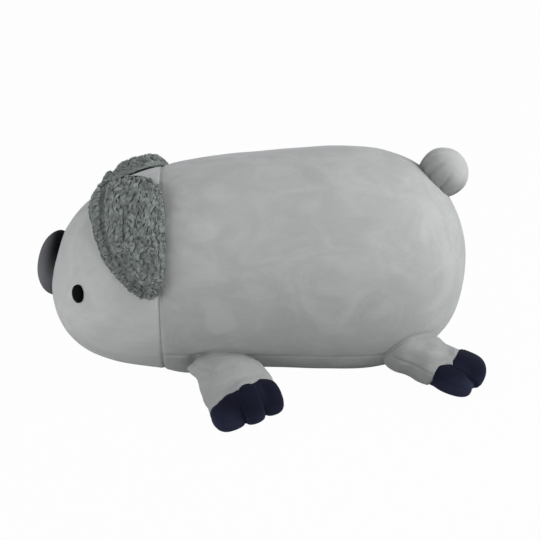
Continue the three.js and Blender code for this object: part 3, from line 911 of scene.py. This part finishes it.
class KOALA_OT_ears(bpy.types.Operator):
    """Makes the two padded ears and lays tufts of sherpa pile over them"""

    bl_idname = "koala.ears"
    bl_label = "Ears"

    def execute(self, context):
        ears = context.scene.koala_ears
        parts = ("back", "front", "wadding")
        ear = copy_nodes("ear_left_sherpa", [f"ear_left_{part}" for part in parts])
        remesh(ear, voxel=2.2 * MM, smoothing=4)
        points = points_of(ear)
        stuff(ear, (off_the_skin(points) < 4 * MM) | (points[:, 1] > ears.base_y - 6 * MM), 1 * MM)
        self.trim(ear, ears)
        self.sew(ear, ears)
        tufts = self.tufts(ear, ears)
        # Painted shade on the ear's surface beneath its pile
        mark(ear, "tip", np.full(len(ear.data.vertices), 0.3))
        ear = join([ear, tufts])
        smooth_shading(ear, degrees=80)
        sherpa = sherpa_finish()
        right = mirrored(ear, "ear_right_sherpa")
        self.hang(right, ears)
        self.perk(ear, ears)
        for side, ear in (("left", ear), ("right", right)):
            nodes = [f"ear_{side}_{part}" for part in parts]
            hand_over(ear, sherpa, FILL["ear"], nodes, f"ear_{side}")
        return {"FINISHED"}

    def slide(self, ear, forward, turn, side):
        """Slides every point over the head: forward by lengths, and up round it by angles."""
        points = points_of(ear)
        half_width, half_height, middle = body_section(points[:, 1])
        across, upward = side * points[:, 0] / half_width, (points[:, 2] - middle) / half_height
        reach = np.hypot(across, upward)
        angle = np.arctan2(upward, across) + turn
        points[:, 1] -= forward
        half_width, half_height, middle = body_section(points[:, 1])
        points[:, 0] = side * half_width * reach * np.cos(angle)
        points[:, 2] = middle + half_height * reach * np.sin(angle)
        move_points(ear, points)

    def trim(self, ear, ears):
        """Draws the ear's front edge back below its upper corner, and its foot down."""
        points = points_of(ear)
        forward, upward = self.flat(points, ears).T
        back = -ears.trim * np.maximum(forward, 0) * (1 - rise(upward, 25 * MM, 70 * MM))
        turn = ears.foot_drop * np.minimum(upward, 0) / body_section(points[:, 1])[0]
        self.slide(ear, back, turn, 1)

    def hang(self, ear, ears):
        """Slides the front of the right ear, and the corner at its base, down round the head."""
        points = points_of(ear)
        forward = ears.base_y - points[:, 1]
        lower = ears.droop * rise(forward, 14 * MM, 76 * MM)
        lower += ears.corner_drop * (1 - rise(forward, 2 * MM, 26 * MM))
        self.slide(ear, 0, -lower / body_section(points[:, 1])[0], -1)

    def perk(self, ear, ears):
        """Lifts the left ear's upper corner off the head."""
        points = points_of(ear)
        forward, upward = self.flat(points, ears).T
        lift = ears.perk * rise(forward, 20 * MM, 75 * MM) * rise(upward, 10 * MM, 70 * MM)
        move_points(ear, points + outward(points) * lift[:, None])

    def flat(self, points, ears):
        """Places on the flap laid flat, in metres: forward of the base, and up along the head."""
        half_width, half_height, middle = body_section(points[:, 1])
        angle = np.arctan2((points[:, 2] - middle) / half_height, points[:, 0] / half_width)
        base_width, base_height, _ = body_section(np.array([ears.base_y]))
        around = (base_width + base_height) / 2
        return np.stack([ears.base_y - points[:, 1], (angle - ears.base_angle) * around], axis=1)

    def sew(self, ear, ears):
        """Draws in the seam and the parting, lifts the inner face off the head and roughens the pile."""
        points = points_of(ear)
        places = self.flat(points, ears)
        outer = rise(off_the_skin(points), 8 * MM, 13 * MM)
        valley = ears.seam_depth * line(distance_to(places, EAR_SEAM), 3.2 * MM)
        valley += 0.6 * ears.seam_depth * line(distance_to(places, EAR_PARTING), 2.4 * MM)
        nub = 0.6 * MM * lumps(points, 3.6 * MM, seed=5) + 0.9 * MM * lumps(points, 9 * MM, seed=6)
        pile_room = 1.1 * MM
        push(ear, nub - valley * outer - pile_room)
        points = points_of(ear)
        clearance = 2.5 * MM
        lift = np.maximum(0, clearance - off_the_skin(points))
        move_points(ear, points + outward(points) * lift[:, None])

    def tuft_model(self):
        """One straight tuft of unit length and radius along X, modelled once: its points and its faces."""
        tuft = primitive(
            bpy.ops.mesh.primitive_cylinder_add,
            vertices=3, radius=1, depth=1, location=(0.5, 0, 0), rotation=(0, math.pi / 2, 0),
        )
        bpy.ops.object.transform_apply(location=True, rotation=True)
        for share in (0.35, 0.7):
            bisect(tuft, (share, 0, 0), (1, 0, 0))
        in_edit_mode(tuft, lambda: bpy.ops.mesh.normals_make_consistent(inside=False))
        points = points_of(tuft)
        faces = [list(face.vertices) for face in tuft.data.polygons]
        bpy.data.objects.remove(tuft)
        return points, faces

    def roots(self, ear, count, draw):
        """Points scattered over the ear, fewer on its hidden face, with their outward directions."""
        mesh = ear.data
        mesh.calc_loop_triangles()
        corners = np.array([triangle.vertices[:] for triangle in mesh.loop_triangles])
        points, normals = points_of(ear), normals_of(ear)
        edges = points[corners[:, 1:]] - points[corners[:, :1]]
        areas = np.linalg.norm(np.cross(edges[:, 0], edges[:, 1]), axis=1)
        density = 0.35 + 0.65 * rise(off_the_skin(points), 5 * MM, 9 * MM)
        areas *= density[corners[:, 0]]
        chosen = draw.choice(len(corners), count, p=areas / areas.sum())
        weights = draw.dirichlet((1, 1, 1), count)
        root = np.einsum("nc,ncd->nd", weights, points[corners[chosen]])
        out = np.einsum("nc,ncd->nd", weights, normals[corners[chosen]])
        return root, out / np.linalg.norm(out, axis=1, keepdims=True)

    def tufts(self, ear, ears):
        """Tufts in locks: combed down the top of the ear, curled at its foot and combed out at its rim."""
        draw = np.random.RandomState(seed=12)
        root, out = self.roots(ear, ears.tufts, draw)
        places = self.flat(root, ears)
        outer = off_the_skin(root) > 9 * MM
        sewn = (distance_to(places, EAR_SEAM) <= 1.3 * MM) | (distance_to(places, EAR_PARTING) <= 0.9 * MM)
        keep = ~sewn | ~outer
        root, out, places, outer = root[keep], out[keep], places[keep], outer[keep]
        count = len(root)

        locks = count // TUFTS_IN_A_LOCK
        lock_root = root[:locks]
        lock = np.array([np.argmin(((lock_root - point) ** 2).sum(axis=1)) for point in root])
        gathered = 0.3
        root = root + gathered * (lock_root[lock] - root)

        # Which way each lock is combed, and how much it curls
        seam = np.array(EAR_SEAM)[::-1] * MM
        rim = (places[:, 0] > np.interp(places[:, 1], seam[:, 1], seam[:, 0])) | ~outer
        curly = (1 - rise(places[:, 1], -25 * MM, 25 * MM)) * ~rim
        forward = np.where(rim, 1.0, 0.15) + 0.45 * draw.normal(size=locks)[lock] * (0.4 + curly)
        upward = np.where(rim, -0.35, -1.0) + 0.45 * draw.normal(size=locks)[lock] * (0.3 + curly)
        turn = draw.normal(size=locks)[lock] * (0.3 + 2.0 * curly) + 0.3 * draw.normal(size=count)
        short = 0.55 + 0.45 * rise(places[:, 0], 2 * MM, 22 * MM)
        length = ears.tuft_length * short * draw.uniform(0.75, 1.25, count) * np.where(rim, 0.75, 1)

        # Axes of each tuft on the ear's surface
        around = outward(root)
        along_up = np.stack([-around[:, 2], 0 * forward, around[:, 0]], axis=1)
        comb = upward[:, None] * along_up - forward[:, None] * np.array([0, 1, 0])
        comb -= (comb * out).sum(axis=1, keepdims=True) * out
        comb /= np.linalg.norm(comb, axis=1, keepdims=True)
        side = np.cross(out, comb)
        room = np.clip((off_the_skin(root) + 0.5 * MM) / (7 * MM), 0.3, 1)
        light = draw.uniform(0.25, 1.0, locks)[lock] * draw.uniform(0.6, 1.0, count)
        return self.lay(ears, (root, comb, side, out), turn, length, room, light)

    def lay(self, ears, axes, turn, length, room, light):
        """Copies the tuft to every root, bent by its own turn, and joins the copies in one mesh."""
        model, faces = self.tuft_model()
        root, comb, side, out = axes
        share = np.clip(model[:, 0], 0, 1)[None, :]
        least_turn = 0.05
        turn = np.where(np.abs(turn) < least_turn, least_turn, turn)[:, None]
        heading = turn * share
        ahead = np.sin(heading) / turn * length[:, None]
        aside = (1 - np.cos(heading)) / turn * length[:, None]
        half = ears.tuft_width / 2 * (0.6 + 0.4 * np.sin(math.pi * share ** 0.8)) * (1 - 0.8 * share ** 3)
        arch, sink = 2.2 * MM, 0.9 * MM
        height = (arch * np.sin(math.pi * (0.1 + 0.75 * share)) - sink * (1 - share)) * room[:, None]
        across = half * model[:, 1][None, :]
        ahead = ahead - np.sin(heading) * across
        aside = aside + np.cos(heading) * across
        height = height + 0.75 * half * model[:, 2][None, :] * room[:, None]
        moves = ((ahead, comb), (aside, side), (height, out))
        verts = root[:, None] + sum(amount[:, :, None] * axis[:, None] for amount, axis in moves)
        step = len(model)
        starts = range(0, len(root) * step, step)
        cells = [[corner + start for corner in face] for start in starts for face in faces]
        mesh = bpy.data.meshes.new("tufts")
        mesh.from_pydata(verts.reshape(-1, 3).tolist(), [], cells)
        tufts = link("tufts", mesh)
        # Painted shade at each tuft's root, lifting toward its tip
        shaded_root = 0.2 + 0.8 * np.sqrt(share)
        mark(tufts, "tip", (light[:, None] * shaded_root).ravel())
        return tufts


# Legs and tail

class KOALA_OT_legs(bpy.types.Operator):
    """Makes the four legs and their dark toe caps, with scalloped edges and grooves between the toes"""

    bl_idname = "koala.legs"
    bl_label = "Legs and toes"

    def execute(self, context):
        legs = context.scene.koala_legs
        plush = bpy.data.materials["brushed_plush"]
        velvet = velvet_finish(
            "toe_velvet", context.scene.koala_colours.toes,
            dark=0.75, light=2.3, sheen=0.06, tint=(0.75, 0.8, 1, 1),
        )
        for name, sewing in LEG_FORMS.items():
            hinge = Vector(JOINTS[f"{name}_left_leg_lift"]["pos_m"])
            axes = Euler(leg_setting(name, "turn"), "XYZ").to_matrix()
            grey, dark = self.left_leg(name, np.array(hinge), np.array(axes), legs)
            reach = axes @ Vector((1, 0, 0))
            for side, sign in SIDES:
                leg = f"{name}_{side}"
                leg_plush = grey if sign > 0 else mirrored(grey, f"{leg}_leg_plush")
                toes = dark if sign > 0 else mirrored(dark, f"{leg}_toes_velvet")
                nodes = [f"{leg}_leg_{part}" for part in ("top", "sole", "stuffing")]
                hand_over(leg_plush, plush, FILL["leg"], nodes)
                start, end = (Vector((sign, 1, 1)) * (hinge + along * MM * reach) for along in sewing.bend)
                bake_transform(leg_plush)
                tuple(start)
                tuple(end)
                nodes = [f"{leg}_toes_{part}" for part in ("top", "sole")]
                hand_over(toes, velvet, FILL["leg"], nodes, f"{leg}_leg")
        return {"FINISHED"}

    def left_leg(self, name, hinge, axes, legs):
        """A left leg's plush and toe caps, shaped in its own frame."""
        grey = self.form(f"{name}_left_leg_plush", name, legs)
        local = points_of(grey)
        stuff(grey, (local[:, 0] < 4 * MM) | (self.groove(local, name, legs) > 0.5), 0.9 * MM)
        refine(grey)
        self.shape(grey, name, legs)
        local = points_of(grey)
        edge = self.past_edge(local, name, legs)
        snap = 0.75 * MM
        near = np.abs(edge) < snap
        local[:, 0] -= np.where(near, edge, 0)
        move_points(grey, local)
        edge = np.where(near, 0, edge)
        padding, valley = 0.7 * MM * rise(edge, 0, 7 * MM), 1.1 * MM * line(edge, 1.3 * MM)
        push(grey, padding - valley)
        self.lean(grey, name, legs)
        move_points(grey, points_of(grey) @ axes.T + hinge)
        self.settle(grey, LEG_FORMS[name].pinch * MM)
        # Painted light low on the toes, and painted shade in the grooves between them
        low = 1 - rise(points_of(grey)[:, 2], 4 * MM, 32 * MM)
        mark(grey, "nap", low * (1 - 0.9 * self.groove(local, name, legs)))
        dark = self.part_toes(grey, edge, f"{name}_left_toes_velvet")
        for piece in (grey, dark):
            in_edit_mode(piece, lambda: bpy.ops.mesh.remove_doubles(threshold=0.1 * MM))
            in_edit_mode(piece, lambda: bpy.ops.mesh.fill_holes(sides=0))
            smooth_shading(piece)
        # Painted shade: each pair of legs' plush is painted darker, partly for the way its pile lies
        mark(grey, "lie", np.full(len(grey.data.vertices), LEG_FORMS[name].lie))
        return grey, dark

    def lean(self, piece, name, legs):
        """Moves the middle of the foot across it, so that the toes differ in width."""
        points = points_of(piece)
        length, half = leg_setting(name, "length"), legs.foot_size[1] / 2
        middle = np.maximum(0, 1 - (points[:, 1] / half) ** 2)
        lean = LEG_FORMS[name].lean * MM
        if lean < 0:
            middle *= 1 - rise(points[:, 1], -6 * MM, 12 * MM)
        points[:, 1] += lean * middle * rise(points[:, 0], length - 60 * MM, length - 30 * MM)
        move_points(piece, points)

    def toe_places(self, name, legs):
        """Middle and height of each toe in the leg's own frame, all on one sole."""
        length, step = leg_setting(name, "length"), leg_setting(name, "step")
        middle_height, outer_height, lift = leg_setting(name, "toes")
        for toe in TOES:
            height = outer_height if toe else middle_height
            raised = lift / 2 if toe else lift
            along = length - legs.toe_size[0] / 2 - abs(toe) * step
            across = toe * (legs.foot_size[1] - legs.toe_size[1]) / 2
            yield Vector((along, across, raised + (height - legs.foot_size[2]) / 2)), height

    def form(self, piece_name, name, legs):
        """The leg's swelling tube and its toes in the leg's own frame, as one closed mesh."""
        length = leg_setting(name, "length")
        root_width, root_height, _ = leg_setting(name, "root")
        foot_length, foot_width, _ = legs.foot_size
        toe_length, toe_width = legs.toe_size
        middle_height, outer_height, lift = leg_setting(name, "toes")
        depth, drop = LEG_FORMS[name].calf
        last_angle, step = 112, 8
        angles = np.radians(np.arange(0, last_angle + step, step))
        swell = np.sin(angles)
        rings = np.stack([
            -root_height / 2 * np.cos(angles), root_width / 2 * swell, root_height / 2 * swell,
        ], axis=1)
        foot = np.array([length - foot_length, foot_width / 2, middle_height / 2])
        toe_middle = length - toe_length / 2
        core = np.array([toe_middle, (foot_width - toe_width / 2) / 2, outer_height / 2])
        end = np.array([toe_middle + toe_width / 2, 0, 0])
        calf = (rings[-1] + foot) / 2 + np.array([0, 0, depth * MM])
        rings = np.vstack([rings, calf, foot, core, end])
        tube = rounded_form(piece_name, (2, 2, 2))
        ball = points_of(tube)
        along = rings[0, 0] + (rings[-1, 0] - rings[0, 0]) * (1 + ball[:, 2]) / 2
        angle = np.arctan2(ball[:, 1], ball[:, 0])
        half_width = np.interp(along, rings[:, 0], rings[:, 1])
        half_height = np.interp(along, rings[:, 0], rings[:, 2])
        sag = drop * MM * line(along - calf[0] - 9 * MM, 15 * MM)
        middle = lift / 2 * rise(along, calf[0], core[0]) - sag
        across, upward = half_width * np.sin(angle), middle + half_height * np.cos(angle)
        across += root_shift(along, across, upward, name)
        move_points(tube, np.stack([along, across, upward], axis=1))
        in_edit_mode(tube, lambda: bpy.ops.mesh.normals_make_consistent(inside=False))
        toes = []
        for place, height in self.toe_places(name, legs):
            toe = rounded_form("toe", (toe_length, toe_width, height), fullness=2.6)
            toe.data.transform(Matrix.Translation(place))
            toes.append(toe)
        tube = join([tube, *toes])
        remesh(tube, voxel=2.2 * MM, smoothing=5)
        return tube

    def over_toes(self, local, name):
        """Places across the foot, with the grooves between the toes as straight lines."""
        splay = math.radians(LEG_FORMS[name].splay)
        across = np.abs(local[:, 1]) * math.cos(splay) - local[:, 2] * math.sin(splay)
        return np.sign(local[:, 1]) * np.maximum(across, 0)

    def groove(self, local, name, legs):
        """1 along the two grooves between the toes."""
        across = np.abs(self.over_toes(local, name)) - (legs.foot_size[1] - legs.toe_size[1]) / 4
        return line(across, 1.8 * MM)

    def past_edge(self, local, name, legs):
        """How far each point lies past the toe caps' scalloped edge, along the leg."""
        length, cap = leg_setting(name, "length"), leg_setting(name, "root")[2]
        leg = LEG_FORMS[name]
        over = self.over_toes(local, name)
        edge = np.full(len(local), length)
        for toe, (place, _) in zip(TOES, self.toe_places(name, legs)):
            across = (over - place.y) / legs.scallop_radius
            bow = legs.scallop_bow * across ** 2 * np.where(across * toe > 0, leg.outer_bow, 1)
            start = leg.middle_cap * MM if toe == 0 else -leg_setting(name, "step")
            edge = np.minimum(edge, length - cap + start + bow)
        return local[:, 0] - edge - leg.cap_slant * (local[:, 1] + legs.foot_size[1] / 2)

    def shape(self, piece, name, legs):
        """Grooves between the toes, the side seam, the leg's folds and the stuffing's soft lumps."""
        local = points_of(piece)
        edge = self.past_edge(local, name, legs)
        groove = 1.6 * MM * self.groove(local, name, legs) * rise(edge, -6 * MM, 8 * MM)
        seam_height = -4 * MM
        seam = 0.9 * MM * line(local[:, 2] - seam_height, 1.3 * MM) * rise(local[:, 0], -30 * MM, 10 * MM)
        seam *= 1 - 0.6 * rise(edge, -2 * MM, 2 * MM)
        top = rise(local[:, 2], -2 * MM, 6 * MM)
        folds = sum(
            depth * MM * line(distance_to(local[:, :2], track), width * MM)
            for track, depth, width in LEG_FORMS[name].folds
        )
        grey = 1 - rise(edge, -8 * MM, 0)
        soft = 0.8 * MM * lumps(local, 24 * MM, seed=8) + 0.35 * MM * lumps(local, 10 * MM, seed=7) * grey
        push(piece, soft - groove - seam - folds * top * grey)

    def settle(self, piece, pinch):
        """Pinches the root, sews it on under the body's skin and rests the foot on the floor."""
        off = off_the_skin(points_of(piece))
        stitched = 0.8 * MM * line(off - 2 * MM, 1.2 * MM)
        push(piece, -pinch * line(off, 2 * pinch) - stitched)
        sew_on(piece)
        rest(piece, 0.2 * MM)

    def part_toes(self, piece, edge, name):
        """Parts the toe caps from a leg along their edge."""
        activate(piece)
        for face in piece.data.polygons:
            face.select = bool(np.mean(edge[list(face.vertices)]) > 0)
        bpy.ops.object.mode_set(mode="EDIT")
        bpy.ops.mesh.select_mode(type="FACE")
        bpy.ops.mesh.separate(type="SELECTED")
        bpy.ops.object.mode_set(mode="OBJECT")
        toes = next(other for other in bpy.context.selected_objects if other != piece)
        toes.name = name
        return toes


class KOALA_OT_tail(bpy.types.Operator):
    """Makes the round tail, gathered where it is sewn to the rump"""

    bl_idname = "koala.tail"
    bl_label = "Tail"

    def execute(self, context):
        settings = context.scene.koala_tail
        base = np.array(JOINTS["tail_wag"]["pos_m"])
        along = np.array(JOINTS["tail_wag"]["axis"])
        out = np.cross(along, (1, 0, 0))
        out = out if out[2] > 0 else -out
        tail = rounded_form("tail_plush", [settings.diameter] * 3)
        move_points(tail, points_of(tail) + base + settings.standoff * out)
        remesh(tail, voxel=2.2 * MM, smoothing=4)
        stuff(tail, (points_of(tail) - base) @ out < 0, 0.7 * MM)
        refine(tail)
        self.gather(tail, settings, base, out, along)
        sew_on(tail, out)
        smooth_shading(tail)
        # Painted shade: the tail is painted darker toward the rump, where it is gathered on
        mark(tail, "lie", rise((points_of(tail) - base) @ out, 0, 34 * MM) - 0.7)
        plush = bpy.data.materials["brushed_plush"]
        hand_over(tail, plush, FILL["tail"], ("tail_cover", "tail_stuffing"))
        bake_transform(tail)
        return {"FINISHED"}

    def gather(self, tail, settings, base, out, along):
        """Draws the base in and folds it, each fold with its own place and length."""
        points = points_of(tail)
        height = (points - base) @ out
        flat = points - base - height[:, None] * out
        near = 1 - rise(height, -2 * MM, 20 * MM)
        move_points(tail, points - flat * (0.05 * near)[:, None])
        turn = np.arctan2(flat @ along, flat[:, 0])
        radius = np.linalg.norm(flat, axis=1)
        draw = np.random.RandomState(seed=5)
        folds = np.zeros(len(points))
        for number in range(settings.gathers):
            place = 2 * math.pi * (number + draw.uniform(-0.25, 0.25)) / settings.gathers
            slant = 0.02 * height / MM * draw.uniform(-0.5, 0.5)
            apart = np.angle(np.exp(1j * (turn - place - slant)))
            reach = draw.uniform(18, 34) * MM
            folds += line(apart * radius, 2.4 * MM) * (1 - rise(height, 0.2 * reach, reach))
        push(tail, 0.35 * MM * lumps(points, 14 * MM, seed=9) - settings.gather_depth * folds)


# Studio

class KOALA_OT_studio(bpy.types.Operator):
    """Sets up the floor, the soft lights and the camera"""

    bl_idname = "koala.studio"
    bl_label = "Studio"

    def execute(self, context):
        scene = context.scene
        studio = scene.koala_studio
        floor = primitive(bpy.ops.mesh.primitive_plane_add, size=14)
        floor.name = "studio_floor"
        floor.data.materials.append(studio_finish("studio_floor", scene.koala_colours.floor))
        self.light_world(scene, studio.ambient)
        aim = Vector(studio.aim)
        for name, (place, size) in LAMPS.items():
            self.lamp(f"{name}_light", Vector(place), aim, size, getattr(studio, name))
        away = Vector((
            math.sin(studio.azimuth) * math.cos(studio.elevation),
            -math.cos(studio.azimuth) * math.cos(studio.elevation),
            math.sin(studio.elevation),
        ))
        camera = primitive(bpy.ops.object.camera_add, location=aim + studio.distance * away)
        camera.rotation_euler = (-away).to_track_quat("-Z", "Y").to_euler()
        camera.data.lens = studio.lens
        camera.data.clip_end = 50
        scene.camera = camera
        scene.view_settings.view_transform = "Standard"
        return {"FINISHED"}

    def lamp(self, name, place, aim, size, power):
        """Adds a soft light that shines at the aim."""
        lamp = primitive(bpy.ops.object.light_add, type="AREA", location=place)
        lamp.name = name
        lamp.data.size = size
        lamp.data.energy = power
        lamp.rotation_euler = (aim - place).to_track_quat("-Z", "Y").to_euler()

    def light_world(self, scene, ambient):
        """White to the camera, and dim even light to the toy."""
        world = bpy.data.worlds.new("studio")
        world.use_nodes = True
        tree = world.node_tree
        rays = tree.nodes.new("ShaderNodeLightPath")
        seen = rays.outputs["Is Camera Ray"]
        for ray in ("Is Glossy Ray", "Is Transmission Ray"):
            either = tree.nodes.new("ShaderNodeMath")
            either.operation = "MAXIMUM"
            tree.links.new(seen, either.inputs[0])
            tree.links.new(rays.outputs[ray], either.inputs[1])
            seen = either.outputs[0]
        strength = tree.nodes.new("ShaderNodeMapRange")
        tree.links.new(seen, strength.inputs["Value"])
        strength.inputs["To Min"].default_value = ambient
        strength.inputs["To Max"].default_value = 1
        back = tree.nodes["Background"]
        back.inputs["Color"].default_value = (1, 1, 1, 1)
        tree.links.new(strength.outputs["Result"], back.inputs["Strength"])
        scene.world = world


class KOALA_PT_panel(bpy.types.Panel):
    bl_label = "Plush koala"
    bl_idname = "KOALA_PT_panel"
    bl_space_type = "VIEW_3D"
    bl_region_type = "UI"
    bl_category = "Plush koala"

    def draw(self, context):
        for operator in OPERATORS:
            self.layout.operator(operator.bl_idname)
        for name, group in SETTINGS.items():
            box = self.layout.box()
            box.label(text=name.replace("_", " ").capitalize())
            for key in group.__annotations__:
                box.prop(getattr(context.scene, name), key)


OPERATORS = (
    KOALA_OT_torso, KOALA_OT_nose, KOALA_OT_eyes, KOALA_OT_ears,
    KOALA_OT_legs, KOALA_OT_tail, KOALA_OT_studio,
)


def register():
    for group in SETTINGS.values():
        bpy.utils.register_class(group)
    for name, group in SETTINGS.items():
        setattr(bpy.types.Scene, name, PointerProperty(type=group))
    for item in (*OPERATORS, KOALA_PT_panel):
        bpy.utils.register_class(item)


def unregister():
    for item in (KOALA_PT_panel, *reversed(OPERATORS)):
        bpy.utils.unregister_class(item)
    for name, group in SETTINGS.items():
        delattr(bpy.types.Scene, name)
        bpy.utils.unregister_class(group)


def main():
    register()
    for operator in OPERATORS:
        getattr(bpy.ops.koala, operator.bl_idname.split(".")[1])()


if __name__ == "__main__":
    main()
